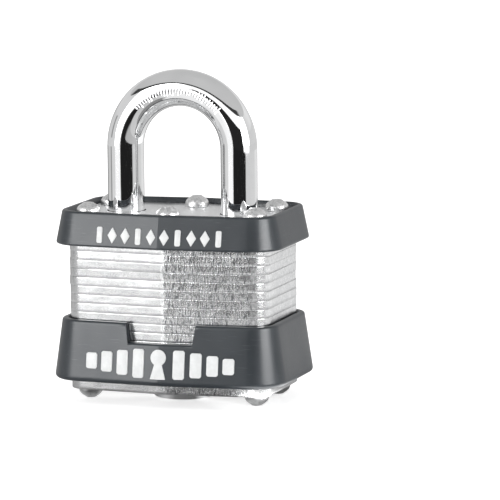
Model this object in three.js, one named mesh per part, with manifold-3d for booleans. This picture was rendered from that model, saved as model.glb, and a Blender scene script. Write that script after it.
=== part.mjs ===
// A laminated padlock, in millimetres, +Z up, front towards -Y.
// The origin is under the middle of the case, level with the lands of the rivet heads it stands on.
// The lock is drawn closed, with its plug turned to the open position and both levers drawn back.

import * as THREE from 'three';
import { mergeVertices } from 'three/addons/utils/BufferGeometryUtils.js';
import Module from 'manifold-3d';

const wasm = await Module();
wasm.setup();

// ---------------------------------------------------------------- driving dimensions

// Plates
const PLATE_WIDTH = 39.7;
const PLATE_SIDE_DEPTH = 21.4;       // depth at the side faces, before the corners are rounded
const RIDGE_RISE = 1.5;              // how far the middle of the front and back stands out
const PLATE_CORNER_R = 3.5;
const PLATE_T = 1.65;
const CYLINDER_PLATES = 9;
const CAM_PLATES = 4;
const LEVER_PLATES = 2;
const SHACKLE_PLATES = 3;
const INSET = 0.9;                   // how much smaller the two bumper-holding plates are

// Bottom plate boss
const BOSS_BASE_R = 7.0;
const BOSS_FACE_R = 5.4;
const BOSS_DROP = 2.1;

// Rivets
const HEAD_R = 2.4;
const TOP_HEAD_H = 2.2;
const BOTTOM_HEAD_H = 2.25;
const LAND_R = 1.2;
const SHANK_R = 1.55;
const CORNER_RIVET_FROM_SIDE = 3.25;
const CORNER_RIVET_FROM_FACE = 4.2;
const MIDDLE_RIVET_FROM_RIDGE = 4.0;

// Bumpers: the lower and upper edges of each, and how far each edge stands proud of the plates
const LOWER_BUMPER = { low: 4.2, high: 15.7, proudLow: 3.2, proudHigh: 1.55 };
const UPPER_BUMPER = { low: 29.9, high: 36.3, proudLow: 2.6, proudHigh: 1.3 };
const NOTCH_HALF_LOW = 6.3;
const NOTCH_HALF_HIGH = 6.85;
const NOTCH_DEPTH = 3.65;

// Shackle
const ROD_R = 3.57;
const LEG_SPACING = 22.5;
const SHACKLE_TOP = 62.5;
const LIFT = 12;
const TOE_END_BELOW_LEVERS = 1.15;
const HEEL_FLANGE_T = 1.75;
const HEEL_NECK_R = 2.6;
const SHACKLE_WIRE_R = 0.45;
const SHACKLE_SPRING_R = 2.7;

// Cylinder and plug
const PLUG_R = 4.6;
const SHELL_WALL = 1.3;
const NOSE_R = 3.3;
const NOSE_RECESS = 0.35;
const PIN_COUNT = 4;
const PIN_PITCH = 3.1;
const PIN_R = 1.25;
const DRIVER_LENGTH = 4.0;
const KEY_PIN_LENGTHS = [3.1, 3.9, 3.5, 2.8];
const PIN_SPRING_LENGTH = 4.3;
const PIN_WIRE_R = 0.17;
const PIN_BLOCK_HALF = 2.4;
const COVER_T = 0.45;
const KEYWAY_END_WALL = 1.9;

// Cam and levers
const CAM_R = 3.1;
const CRANK_R = 1.3;                 // centre of the cam to the centre of a crank pin
const CRANK_PIN_R = 0.8;
const CRANK_REST_ANGLE = Math.PI * 3 / 4;
const TONGUE_HALF = 0.7;
const TONGUE_H = 1.1;
const LEVER_HALF = 4.9;
const LEVER_TAIL = 2.6;
const LEVER_SHOULDER = 6.4;
const LEVER_NOSE_HALF = 1.9;
const LEVER_NOSE_START = 3.2;
const HEEL_HOLD = 0.6;               // how far the drawn-back heel lever still reaches into its leg
const LEVER_SPRING_R = 0.75;
const LEVER_WIRE_R = 0.16;
const LEVER_SPRING_Y = 3.6;

// Clearances
const SEAT_GAP = 0.1;                // between a part and the pocket it sits in
const TURN_GAP = 0.08;               // between the plug and its bore
const ROD_GAP = 0.15;                // between a shackle leg and its bore
const SHANK_GAP = 0.11;
const LEVER_GAP = 0.15;              // above, below and between the levers
const NOTCH_GAP = 0.35;              // between a lever's nose and the notch it enters
const CRANK_SLOT_GAP = 0.3;
const SHEAR_GAP = 0.12;              // between the plug and the driver pins

// ---------------------------------------------------------------- derived heights and places

const PLATE_COUNT = 1 + CYLINDER_PLATES + CAM_PLATES + LEVER_PLATES + SHACKLE_PLATES + 1;
const STACK_LOW = BOTTOM_HEAD_H;
const plateZ = (index) => STACK_LOW + index * PLATE_T;
const STACK_HIGH = plateZ(PLATE_COUNT);
const FIRST_CAM_PLATE = 1 + CYLINDER_PLATES;
const FIRST_LEVER_PLATE = FIRST_CAM_PLATE + CAM_PLATES;
const FIRST_SHACKLE_PLATE = FIRST_LEVER_PLATE + LEVER_PLATES;
const TOP_PLATE = PLATE_COUNT - 1;
const CYLINDER_LOW = plateZ(1);
const CYLINDER_HIGH = plateZ(FIRST_CAM_PLATE);
const LEVER_LOW = plateZ(FIRST_LEVER_PLATE);
const LEVER_HIGH = plateZ(FIRST_SHACKLE_PLATE);

const CORNER_RIVET_X = PLATE_WIDTH / 2 - CORNER_RIVET_FROM_SIDE;
const CORNER_RIVET_Y = PLATE_SIDE_DEPTH / 2 - CORNER_RIVET_FROM_FACE;
const MIDDLE_RIVET_Y = PLATE_SIDE_DEPTH / 2 + RIDGE_RISE - MIDDLE_RIVET_FROM_RIDGE;

const LEG_X = LEG_SPACING / 2;
const BOW_Z = SHACKLE_TOP - ROD_R - LEG_X;
const ROD_SIDES = 14;
const LEG_BORE_R = (ROD_R + ROD_GAP) / Math.cos(Math.PI / ROD_SIDES);
const LEG_INNER = LEG_X - ROD_R;
const SHANK_HOLE_SIDES = 8;
const SHANK_HOLE_R = (SHANK_R + SHANK_GAP) / Math.cos(Math.PI / SHANK_HOLE_SIDES);

const PLUG_SIDES = 16;
const PLUG_BORE_R = (PLUG_R + TURN_GAP) / Math.cos(Math.PI / PLUG_SIDES);
const SHELL_R = PLUG_R + SHELL_WALL;
const DRIVER_START = PLUG_R + SHEAR_GAP;
const PIN_SPRING_START = DRIVER_START + DRIVER_LENGTH + SEAT_GAP;
const BLOCK_END = PIN_SPRING_START + PIN_SPRING_LENGTH + SEAT_GAP;
const CHAMBER_END = BLOCK_END + COVER_T + 2 * SEAT_GAP;
const CHAMBER_SIDES = 8;
const CHAMBER_R = (PIN_R + SEAT_GAP) / Math.cos(Math.PI / CHAMBER_SIDES);
const KEY_PIN_TOP = Math.sqrt(PLUG_R ** 2 - PIN_R ** 2) - 0.04;
const PLUG_CHAMBER_START = KEY_PIN_TOP - Math.max(...KEY_PIN_LENGTHS) - SEAT_GAP;
const FIRST_PIN_Z = (CYLINDER_LOW + CYLINDER_HIGH - (PIN_COUNT - 1) * PIN_PITCH) / 2;
const pinZ = (index) => FIRST_PIN_Z + index * PIN_PITCH;

const CRANK_SWING = Math.PI / 2;
const LEVER_TRAVEL = 2 * CRANK_R * Math.sin(CRANK_SWING / 2);
const LEVER_TIP = LEG_INNER - ROD_GAP;
const HEEL_TIP = LEG_INNER + HEEL_HOLD;
const POCKET_X = LEVER_SHOULDER + LEVER_TRAVEL + SEAT_GAP;
const POCKET_HALF = LEVER_HALF + 2 * LEVER_GAP;

const TOE_END = LEVER_LOW - TOE_END_BELOW_LEVERS - LEVER_GAP;
const NOTCH_LOW = LEVER_LOW - LEVER_GAP;
const NOTCH_HIGH = LEVER_HIGH + LEVER_GAP;
const HEEL_END = NOTCH_LOW - LIFT - HEEL_FLANGE_T;

// ---------------------------------------------------------------- materials

const steel = (color, roughness) =>
  new THREE.MeshStandardMaterial({ color, roughness, metalness: 1 });
const plateFinish = () => steel(0xc9cbcc, 0.42);
const rivetFinish = () => steel(0xd2d3d4, 0.25);
const chromeFinish = () => steel(0xe6e8ea, 0.06);
const springFinish = () => steel(0x9a9da0, 0.35);
const leverFinish = () => steel(0x8f9194, 0.4);
const brassFinish = () => steel(0xc9a24e, 0.32);
const zincFinish = () => steel(0xa9a9a4, 0.5);
const bumperFinish = () =>
  new THREE.MeshStandardMaterial({ color: 0x5f6266, roughness: 0.5, metalness: 0 });

// ---------------------------------------------------------------- outlines

// Points round an arc, from one angle to another, both ends included.
function arcPoints(x, y, radius, from, to, steps) {
  const points = [];
  for (let i = 0; i <= steps; i += 1) {
    const angle = from + (to - from) * i / steps;
    points.push(new THREE.Vector2(x + radius * Math.cos(angle), y + radius * Math.sin(angle)));
  }
  return points;
}

function ringPoints(x, y, radius, sides, turn = Math.PI / sides) {
  return arcPoints(x, y, radius, turn, turn + 2 * Math.PI, sides).slice(0, sides);
}

// The plan of a plate, grown outwards by `grow`: two shallow facets front and back, round corners.
function planPoints(grow) {
  const slope = Math.atan(RIDGE_RISE / (PLATE_WIDTH / 2));
  const side = PLATE_WIDTH / 2 + grow;
  const ridge = PLATE_SIDE_DEPTH / 2 + RIDGE_RISE + grow / Math.cos(slope);
  const radius = PLATE_CORNER_R + grow;
  const centreX = side - radius;
  const centreY = ridge - Math.tan(slope) * centreX - radius / Math.cos(slope);
  const quarter = Math.PI / 2;
  const steps = 3;
  return [
    new THREE.Vector2(0, -ridge),
    ...arcPoints(centreX, -centreY, radius, -quarter + slope, 0, steps),
    ...arcPoints(centreX, centreY, radius, 0, quarter - slope, steps),
    new THREE.Vector2(0, ridge),
    ...arcPoints(-centreX, centreY, radius, quarter + slope, 2 * quarter, steps),
    ...arcPoints(-centreX, -centreY, radius, 2 * quarter, 3 * quarter - slope, steps),
  ];
}

const rectanglePoints = (x0, y0, x1, y1) => [
  new THREE.Vector2(x0, y0),
  new THREE.Vector2(x1, y0),
  new THREE.Vector2(x1, y1),
  new THREE.Vector2(x0, y1),
];

// ---------------------------------------------------------------- solids

// An outline with holes, pulled up from one height to another.
function extrude(outline, holes, low, high) {
  const shape = new THREE.Shape(outline);
  shape.holes = holes.map((points) => new THREE.Path(points));
  const geometry = new THREE.ExtrudeGeometry(shape, { depth: high - low, bevelEnabled: false });
  return geometry.translate(0, 0, low);
}

// A section swept along a curve, with closed ends.
function sweep(radius, sides, curve, steps) {
  const section = new THREE.Shape(ringPoints(0, 0, radius, sides));
  return new THREE.ExtrudeGeometry(section, { extrudePath: curve, steps, bevelEnabled: false });
}

// A turned solid: [radius, height] pairs from the axis, up the outside and back to the axis.
function turned(profile, sides) {
  const points = profile.map(([radius, height]) => new THREE.Vector2(radius, height));
  return new THREE.LatheGeometry(points, sides).rotateX(Math.PI / 2);
}

// A solid ring stack between outlines of the same number of points.
function loft(lowPoints, low, highPoints, high) {
  const count = lowPoints.length;
  const positions = [];
  lowPoints.forEach((p) => positions.push(p.x, p.y, low));
  highPoints.forEach((p) => positions.push(p.x, p.y, high));
  const index = [];
  for (let i = 0; i < count; i += 1) {
    const next = (i + 1) % count;
    index.push(i, next, count + next, i, count + next, count + i);
  }
  THREE.ShapeUtils.triangulateShape(lowPoints, []).forEach(([a, b, c]) => {
    index.push(c, b, a, count + a, count + b, count + c);
  });
  const geometry = new THREE.BufferGeometry();
  geometry.setAttribute('position', new THREE.Float32BufferAttribute(positions, 3));
  geometry.setIndex(index);
  return geometry;
}

function toManifold(geometry) {
  const bare = geometry.clone();
  bare.deleteAttribute('normal');
  bare.deleteAttribute('uv');
  const merged = mergeVertices(bare, 1e-4);
  return new wasm.Manifold(new wasm.Mesh({
    numProp: 3,
    vertProperties: new Float32Array(merged.attributes.position.array),
    triVerts: new Uint32Array(merged.index.array),
  }));
}

function fromManifold(solid) {
  const mesh = solid.getMesh();
  const geometry = new THREE.BufferGeometry();
  geometry.setAttribute('position', new THREE.Float32BufferAttribute(mesh.vertProperties, 3));
  geometry.setIndex(Array.from(mesh.triVerts));
  return geometry;
}

// One solid with others cut from it.
function cut(geometry, tools) {
  let solid = toManifold(geometry);
  tools.forEach((tool) => {
    solid = solid.subtract(toManifold(tool));
  });
  return fromManifold(solid);
}

function join(geometries) {
  let solid = toManifold(geometries[0]);
  geometries.slice(1).forEach((geometry) => {
    solid = solid.add(toManifold(geometry));
  });
  return fromManifold(solid);
}

const block = (x0, y0, z0, x1, y1, z1) => extrude(rectanglePoints(x0, y0, x1, y1), [], z0, z1);

// A many-sided bar along X, centred on (y = 0, z).
function barAlongX(radius, sides, x0, x1, z) {
  const bar = new THREE.CylinderGeometry(radius, radius, x1 - x0, sides, 1, false, Math.PI / sides);
  return bar.rotateZ(Math.PI / 2).translate((x0 + x1) / 2, 0, z);
}

// A coil from one end of a line to the other.
class Coil extends THREE.Curve {
  constructor(start, end, radius, turns) {
    super();
    this.start = start;
    this.along = end.clone().sub(start);
    this.radius = radius;
    this.turns = turns;
    const axis = this.along.clone().normalize();
    this.sideways = new THREE.Vector3(0, 1, 0);
    this.across = new THREE.Vector3().crossVectors(axis, this.sideways);
  }

  getPoint(t, target = new THREE.Vector3()) {
    const angle = 2 * Math.PI * this.turns * t;
    return target.copy(this.start)
      .addScaledVector(this.along, t)
      .addScaledVector(this.sideways, this.radius * Math.cos(angle))
      .addScaledVector(this.across, this.radius * Math.sin(angle));
  }
}

function coilSpring(start, end, coilR, wireR, turns, stepsPerTurn = 8, sides = 4) {
  const along = end.clone().sub(start).normalize().multiplyScalar(wireR * 1.1);
  const coil = new Coil(start.clone().add(along), end.clone().sub(along), coilR, turns);
  return sweep(wireR, sides, coil, Math.round(turns * stepsPerTurn));
}

// ---------------------------------------------------------------- the padlock

const padlock = new THREE.Group();
padlock.name = 'padlock';

function addPart(name, geometry, material) {
  const mesh = new THREE.Mesh(geometry, material);
  mesh.name = name;
  padlock.add(mesh);
  return mesh;
}

// ---------------------------------------------------------------- plates

const cornerRivets = [
  ['front_left_rivet', -CORNER_RIVET_X, -CORNER_RIVET_Y],
  ['front_right_rivet', CORNER_RIVET_X, -CORNER_RIVET_Y],
  ['back_left_rivet', -CORNER_RIVET_X, CORNER_RIVET_Y],
  ['back_right_rivet', CORNER_RIVET_X, CORNER_RIVET_Y],
];
const middleRivets = [
  ['front_middle_rivet', 0, -MIDDLE_RIVET_Y],
  ['back_middle_rivet', 0, MIDDLE_RIVET_Y],
];

const shankHole = ([, x, y]) => ringPoints(x, y, SHANK_HOLE_R, SHANK_HOLE_SIDES);
const legHole = (x) => ringPoints(x, 0, LEG_BORE_R, ROD_SIDES);

// The cavity of the cylinder: round for the shell, with a straight block for the pin chambers.
function cylinderHole() {
  const radius = (SHELL_R + SEAT_GAP) / Math.cos(Math.PI / PLUG_SIDES);
  const half = PIN_BLOCK_HALF + SEAT_GAP;
  const meet = Math.asin(half / radius);
  return [
    new THREE.Vector2(CHAMBER_END, -half),
    new THREE.Vector2(CHAMBER_END, half),
    ...arcPoints(0, 0, radius, meet, 2 * Math.PI - meet, PLUG_SIDES),
  ];
}

// The levers' pocket, which opens into both leg bores.
function leverHole() {
  const meet = Math.acos((LEG_X - POCKET_X) / LEG_BORE_R);
  const steps = 10;
  return [
    new THREE.Vector2(-POCKET_X, -POCKET_HALF),
    new THREE.Vector2(POCKET_X, -POCKET_HALF),
    ...arcPoints(LEG_X, 0, LEG_BORE_R, meet - Math.PI, Math.PI - meet, steps),
    new THREE.Vector2(POCKET_X, POCKET_HALF),
    new THREE.Vector2(-POCKET_X, POCKET_HALF),
    ...arcPoints(-LEG_X, 0, LEG_BORE_R, meet, 2 * Math.PI - meet, steps),
  ];
}

function plate(index, holes) {
  const rivets = index < FIRST_SHACKLE_PLATE ? cornerRivets : [...cornerRivets, ...middleRivets];
  const holdsBumper = index === LOWER_HOLD_PLATE || index === UPPER_HOLD_PLATE;
  const outline = planPoints(holdsBumper ? -INSET : 0);
  const allHoles = [...holes, ...rivets.map(shankHole)];
  return extrude(outline, allHoles, plateZ(index), plateZ(index + 1));
}

const plateNear = (z) => Math.floor((z - STACK_LOW) / PLATE_T);
const LOWER_HOLD_PLATE = plateNear(LOWER_BUMPER.low) + 2;
const UPPER_HOLD_PLATE = plateNear(UPPER_BUMPER.high) - 3;

// The bottom plate is drawn down into a round boss that guards the plug.
function bottomPlate() {
  const top = plateZ(1);
  const sides = 20;
  const face = STACK_LOW - BOSS_DROP;
  const boss = turned([
    [0, face],
    [BOSS_FACE_R, face],
    [BOSS_BASE_R - 0.6, face + BOSS_DROP * 0.45],
    [BOSS_BASE_R, STACK_LOW + 0.5],
    [0, STACK_LOW + 0.5],
  ], sides);
  const noseHole = extrude(
    ringPoints(0, 0, (NOSE_R + TURN_GAP) / Math.cos(Math.PI / PLUG_SIDES), PLUG_SIDES),
    [],
    face - 1,
    top + 1,
  );
  return cut(join([plate(0, []), boss]), [noseHole]);
}

addPart('bottom_plate', bottomPlate(), plateFinish());

for (let i = 0; i < CYLINDER_PLATES; i += 1) {
  const holes = [cylinderHole(), legHole(-LEG_X)];
  addPart(`cylinder_plate_${i + 1}`, plate(1 + i, holes), plateFinish());
}

for (let i = 0; i < CAM_PLATES; i += 1) {
  const index = FIRST_CAM_PLATE + i;
  const camHole = ringPoints(0, 0, (CAM_R + SEAT_GAP) / Math.cos(Math.PI / 12), 12);
  const holes = [camHole, legHole(-LEG_X)];
  if (plateZ(index + 1) > TOE_END) {
    holes.push(legHole(LEG_X));
  }
  addPart(`cam_plate_${i + 1}`, plate(index, holes), plateFinish());
}

for (let i = 0; i < LEVER_PLATES; i += 1) {
  addPart(`lever_plate_${i + 1}`, plate(FIRST_LEVER_PLATE + i, [leverHole()]), plateFinish());
}

for (let i = 0; i < SHACKLE_PLATES; i += 1) {
  const holes = [legHole(-LEG_X), legHole(LEG_X)];
  addPart(`shackle_plate_${i + 1}`, plate(FIRST_SHACKLE_PLATE + i, holes), plateFinish());
}

addPart('top_plate', plate(TOP_PLATE, [legHole(-LEG_X), legHole(LEG_X)]), plateFinish());

// ---------------------------------------------------------------- rivets

// A domed head: its flat land, the dome and the underside, as [radius, distance from the land].
const headProfile = (height) => [
  [0, 0],
  [LAND_R, 0],
  [HEAD_R * 0.82, height * 0.28],
  [HEAD_R, height * 0.7],
  [HEAD_R, height],
  [SHANK_R, height],
];

function rivet(x, y, shankEnd, bottomHead) {
  const topHead = headProfile(TOP_HEAD_H)
    .map(([radius, drop]) => [radius, STACK_HIGH + TOP_HEAD_H - drop])
    .reverse();
  const lower = bottomHead
    ? headProfile(BOTTOM_HEAD_H)
    : [[0, shankEnd], [SHANK_R, shankEnd]];
  return turned([...lower, ...topHead], 10).translate(x, y, 0);
}

cornerRivets.forEach(([name, x, y]) => {
  addPart(name, rivet(x, y, 0, true), rivetFinish());
});
// The middle rivets only hold the plates above the levers' pocket.
middleRivets.forEach(([name, x, y]) => {
  addPart(name, rivet(x, y, LEVER_HIGH + SEAT_GAP, false), rivetFinish());
});

// ---------------------------------------------------------------- bumpers

// A sleeve with a sloping outside, and a rib inside that sits over the smaller plate.
function bumper({ low, high, proudLow, proudHigh }, holdPlate) {
  const outside = loft(planPoints(proudLow), low, planPoints(proudHigh), high);
  const bore = planPoints(SEAT_GAP);
  const ribLow = plateZ(holdPlate) + SEAT_GAP;
  const ribHigh = plateZ(holdPlate + 1) - SEAT_GAP;
  const ribBore = planPoints(SEAT_GAP - INSET);
  return cut(outside, [
    extrude(bore, [], low - 1, ribLow),
    extrude(bore, [], ribHigh, high + 1),
    extrude(ribBore, [], ribLow - 1, ribHigh + 1),
  ]);
}

// The wedge taken out of the lower bumper's top edge, front and back.
function bumperNotch() {
  const outline = [
    new THREE.Vector2(-NOTCH_HALF_LOW, LOWER_BUMPER.high - NOTCH_DEPTH),
    new THREE.Vector2(NOTCH_HALF_LOW, LOWER_BUMPER.high - NOTCH_DEPTH),
    new THREE.Vector2(NOTCH_HALF_HIGH, LOWER_BUMPER.high + 1),
    new THREE.Vector2(-NOTCH_HALF_HIGH, LOWER_BUMPER.high + 1),
  ];
  const reach = PLATE_SIDE_DEPTH / 2 + RIDGE_RISE + LOWER_BUMPER.proudLow + 1;
  return extrude(outline, [], -reach, reach).rotateX(Math.PI / 2);
}

const lowerBumper = cut(bumper(LOWER_BUMPER, LOWER_HOLD_PLATE), [bumperNotch()]);
addPart('lower_bumper', lowerBumper, bumperFinish());
addPart('upper_bumper', bumper(UPPER_BUMPER, UPPER_HOLD_PLATE), bumperFinish());

// ---------------------------------------------------------------- shackle and its spring

function shackleGeometry() {
  const path = new THREE.CurvePath();
  path.add(new THREE.LineCurve3(
    new THREE.Vector3(-LEG_X, 0, HEEL_END),
    new THREE.Vector3(-LEG_X, 0, BOW_Z),
  ));
  const bowSteps = 12;
  let last = new THREE.Vector3(-LEG_X, 0, BOW_Z);
  arcPoints(0, BOW_Z, LEG_X, Math.PI, 0, bowSteps).slice(1).forEach((p) => {
    const next = new THREE.Vector3(p.x, 0, p.y);
    path.add(new THREE.LineCurve3(last, next));
    last = next;
  });
  path.add(new THREE.LineCurve3(last, new THREE.Vector3(LEG_X, 0, TOE_END)));
  const rod = sweep(ROD_R, ROD_SIDES, path, 40);

  const wide = 2 * ROD_R;
  const notchEdge = LEVER_TIP + LEVER_TRAVEL + NOTCH_GAP;
  const heelEdge = HEEL_TIP + LEVER_TRAVEL + NOTCH_GAP;
  const flatEdge = HEEL_TIP + NOTCH_GAP;
  const grooveLow = NOTCH_LOW - LIFT;
  const grooveHigh = NOTCH_HIGH - LIFT;
  const groove = extrude(
    ringPoints(-LEG_X, 0, wide, ROD_SIDES),
    [ringPoints(-LEG_X, 0, HEEL_NECK_R, ROD_SIDES)],
    grooveLow,
    grooveHigh,
  );
  return cut(rod, [
    block(LEG_INNER - 1, -wide, NOTCH_LOW, notchEdge, wide, NOTCH_HIGH),
    block(-heelEdge, -wide, NOTCH_LOW, 1 - LEG_INNER, wide, NOTCH_HIGH),
    block(-flatEdge, -wide, grooveLow, 1 - LEG_INNER, wide, NOTCH_HIGH),
    block(-heelEdge, -wide, grooveLow, 1 - LEG_INNER, wide, grooveHigh),
    groove,
  ]);
}

addPart('shackle', shackleGeometry(), chromeFinish());

addPart('shackle_spring', coilSpring(
  new THREE.Vector3(-LEG_X, 0, CYLINDER_LOW + SEAT_GAP),
  new THREE.Vector3(-LEG_X, 0, HEEL_END - SEAT_GAP),
  SHACKLE_SPRING_R,
  SHACKLE_WIRE_R,
  5,
  10,
  5,
), springFinish());

// ---------------------------------------------------------------- cylinder

const chamber = (index, x0, x1) => barAlongX(CHAMBER_R, CHAMBER_SIDES, x0, x1, pinZ(index));

function cylinderShell() {
  const low = CYLINDER_LOW + SEAT_GAP;
  const high = CYLINDER_HIGH - SEAT_GAP;
  const round = extrude(ringPoints(0, 0, SHELL_R, PLUG_SIDES), [], low, high);
  const pinBlock = block(0, -PIN_BLOCK_HALF, low, BLOCK_END, PIN_BLOCK_HALF, high);
  const bore = extrude(ringPoints(0, 0, PLUG_BORE_R, PLUG_SIDES), [], low - 1, high + 1);
  const chambers = [];
  for (let i = 0; i < PIN_COUNT; i += 1) {
    chambers.push(chamber(i, PLUG_R / 2, BLOCK_END + 1));
  }
  return cut(join([round, pinBlock]), [bore, ...chambers]);
}

// The keyway is thin across the lock and tall towards the pins, with a ward on each side.
const keywayPoints = () => [
  [-2.9, -0.75], [-0.9, -0.75], [-0.6, -0.35], [2.2, -0.35],
  [2.2, 0.6], [0.5, 0.6], [0.2, 0.95], [-1.5, 0.95], [-1.8, 0.3], [-2.9, 0.3],
].map(([x, y]) => new THREE.Vector2(x, y));

function plugGeometry() {
  const nose = STACK_LOW - BOSS_DROP + NOSE_RECESS;
  const low = CYLINDER_LOW + SEAT_GAP;
  const high = CYLINDER_HIGH - SEAT_GAP;
  const body = extrude(ringPoints(0, 0, PLUG_R, PLUG_SIDES), [], low, high);
  const neck = extrude(ringPoints(0, 0, NOSE_R, PLUG_SIDES), [], nose, low + 1);
  const keyway = extrude(keywayPoints(), [], nose - 1, high - KEYWAY_END_WALL - TONGUE_H);
  const slotHalf = TONGUE_HALF + SEAT_GAP;
  const tongueSlot = block(-PLUG_R - 1, -slotHalf, high - TONGUE_H - SEAT_GAP, PLUG_R + 1, slotHalf, high + 1);
  const chambers = [];
  for (let i = 0; i < PIN_COUNT; i += 1) {
    chambers.push(chamber(i, PLUG_CHAMBER_START, PLUG_R + 1));
  }
  return cut(join([body, neck]), [keyway, tongueSlot, ...chambers]);
}

addPart('cylinder_shell', cylinderShell(), zincFinish());
addPart('plug', plugGeometry(), brassFinish());

// A key pin has a blunt point towards the key.
function keyPin(index) {
  const length = KEY_PIN_LENGTHS[index];
  const pin = turned([
    [0, 0],
    [PIN_R * 0.45, 0],
    [PIN_R, PIN_R * 0.6],
    [PIN_R, length],
    [0, length],
  ], CHAMBER_SIDES);
  return pin.rotateY(Math.PI / 2).translate(KEY_PIN_TOP - length, 0, pinZ(index));
}

for (let i = 0; i < PIN_COUNT; i += 1) {
  const springEnd = PIN_SPRING_START + PIN_SPRING_LENGTH;
  addPart(`key_pin_${i + 1}`, keyPin(i), brassFinish());
  addPart(
    `driver_pin_${i + 1}`,
    barAlongX(PIN_R, CHAMBER_SIDES, DRIVER_START, DRIVER_START + DRIVER_LENGTH, pinZ(i)),
    brassFinish(),
  );
  addPart(`pin_spring_${i + 1}`, coilSpring(
    new THREE.Vector3(PIN_SPRING_START, 0, pinZ(i)),
    new THREE.Vector3(springEnd, 0, pinZ(i)),
    PIN_R - PIN_WIRE_R - SEAT_GAP,
    PIN_WIRE_R,
    4,
  ), springFinish());
}

addPart('pin_chamber_cover', block(
  BLOCK_END + SEAT_GAP,
  -PIN_BLOCK_HALF,
  CYLINDER_LOW + SEAT_GAP,
  BLOCK_END + SEAT_GAP + COVER_T,
  PIN_BLOCK_HALF,
  CYLINDER_HIGH - SEAT_GAP,
), brassFinish());

// ---------------------------------------------------------------- cam and levers

function camGeometry() {
  const low = CYLINDER_HIGH;
  const high = LEVER_LOW;
  const tongueEnd = PLUG_R * 0.85;
  const tongueLow = low - SEAT_GAP - TONGUE_H;
  const parts = [
    extrude(ringPoints(0, 0, CAM_R, 12), [], low + SEAT_GAP, high - SEAT_GAP),
    block(-CAM_R * 0.9, -TONGUE_HALF, tongueLow, CAM_R * 0.9, TONGUE_HALF, low + 1),
  ];
  [CRANK_REST_ANGLE, CRANK_REST_ANGLE + Math.PI].forEach((angle) => {
    const x = CRANK_R * Math.cos(angle);
    const y = CRANK_R * Math.sin(angle);
    const pin = extrude(ringPoints(x, y, CRANK_PIN_R, 10), [], high - 1, LEVER_HIGH - 2 * LEVER_GAP);
    parts.push(pin);
  });
  return join(parts);
}

// A lever: tail, crank slot, and a nose in line with its leg. `tip` is where the nose ends.
function leverGeometry(tip) {
  const edge = LEVER_GAP;
  const crankX = CRANK_R * Math.cos(CRANK_REST_ANGLE);
  const slotHalf = CRANK_PIN_R + CRANK_SLOT_GAP;
  const slotTop = CRANK_R + CRANK_PIN_R + CRANK_SLOT_GAP;
  const outline = [
    [-LEVER_TAIL, edge],
    [crankX - slotHalf, edge],
    [crankX - slotHalf, slotTop],
    [crankX + slotHalf, slotTop],
    [crankX + slotHalf, edge],
    [LEVER_NOSE_START, edge],
    [LEVER_NOSE_START, -LEVER_NOSE_HALF],
    [tip, -LEVER_NOSE_HALF],
    [tip, LEVER_NOSE_HALF],
    [LEVER_SHOULDER, LEVER_NOSE_HALF],
    [LEVER_SHOULDER, LEVER_HALF],
    [-LEVER_TAIL, LEVER_HALF],
  ].map(([x, y]) => new THREE.Vector2(x, y));
  return extrude(outline, [], LEVER_LOW + LEVER_GAP, LEVER_HIGH - LEVER_GAP);
}

function leverSpring() {
  const z = (LEVER_LOW + LEVER_HIGH) / 2;
  return coilSpring(
    new THREE.Vector3(-POCKET_X + SEAT_GAP, LEVER_SPRING_Y, z),
    new THREE.Vector3(-LEVER_TAIL - SEAT_GAP, LEVER_SPRING_Y, z),
    LEVER_SPRING_R,
    LEVER_WIRE_R,
    4,
  );
}

addPart('cam', camGeometry(), zincFinish());
addPart('toe_lever', leverGeometry(LEVER_TIP), leverFinish());
addPart('heel_lever', leverGeometry(HEEL_TIP).rotateZ(Math.PI), leverFinish());
addPart('toe_lever_spring', leverSpring(), springFinish());
addPart('heel_lever_spring', leverSpring().rotateZ(Math.PI), springFinish());

export default padlock;
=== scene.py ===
"""A laminated padlock: the fine surfaces and the finishes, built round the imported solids."""

import math

import bmesh
import bpy
from mathutils import Euler, Matrix, Vector, noise
from mathutils.geometry import tessellate_polygon


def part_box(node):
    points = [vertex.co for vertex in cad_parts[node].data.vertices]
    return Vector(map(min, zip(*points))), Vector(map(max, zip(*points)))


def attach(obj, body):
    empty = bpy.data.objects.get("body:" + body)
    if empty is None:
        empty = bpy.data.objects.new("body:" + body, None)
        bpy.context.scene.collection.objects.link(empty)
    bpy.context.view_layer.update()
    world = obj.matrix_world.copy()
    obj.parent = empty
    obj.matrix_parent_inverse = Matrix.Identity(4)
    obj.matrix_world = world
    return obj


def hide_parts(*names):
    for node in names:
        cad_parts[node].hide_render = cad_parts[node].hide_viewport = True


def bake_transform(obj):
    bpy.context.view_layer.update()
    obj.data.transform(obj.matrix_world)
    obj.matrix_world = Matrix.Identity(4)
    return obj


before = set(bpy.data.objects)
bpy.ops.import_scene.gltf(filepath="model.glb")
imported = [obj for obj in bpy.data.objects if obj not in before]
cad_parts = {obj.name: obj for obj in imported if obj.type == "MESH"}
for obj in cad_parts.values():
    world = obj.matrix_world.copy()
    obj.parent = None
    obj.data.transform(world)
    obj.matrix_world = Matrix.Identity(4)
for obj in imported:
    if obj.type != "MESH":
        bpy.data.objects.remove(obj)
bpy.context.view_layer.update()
MM = 0.001

# ---- sizes, from the frame


def low(node):
    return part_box(node)[0]


def high(node):
    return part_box(node)[1]


CYLINDER_PLATES = [f"cylinder_plate_{i}" for i in range(1, 10)]
CAM_PLATES = [f"cam_plate_{i}" for i in range(1, 5)]
LEVER_PLATES = [f"lever_plate_{i}" for i in range(1, 3)]
SHACKLE_PLATES = [f"shackle_plate_{i}" for i in range(1, 4)]
HOLD_PLATES = ("cylinder_plate_3", "shackle_plate_2")     # smaller, inside the bumpers' ribs

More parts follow.
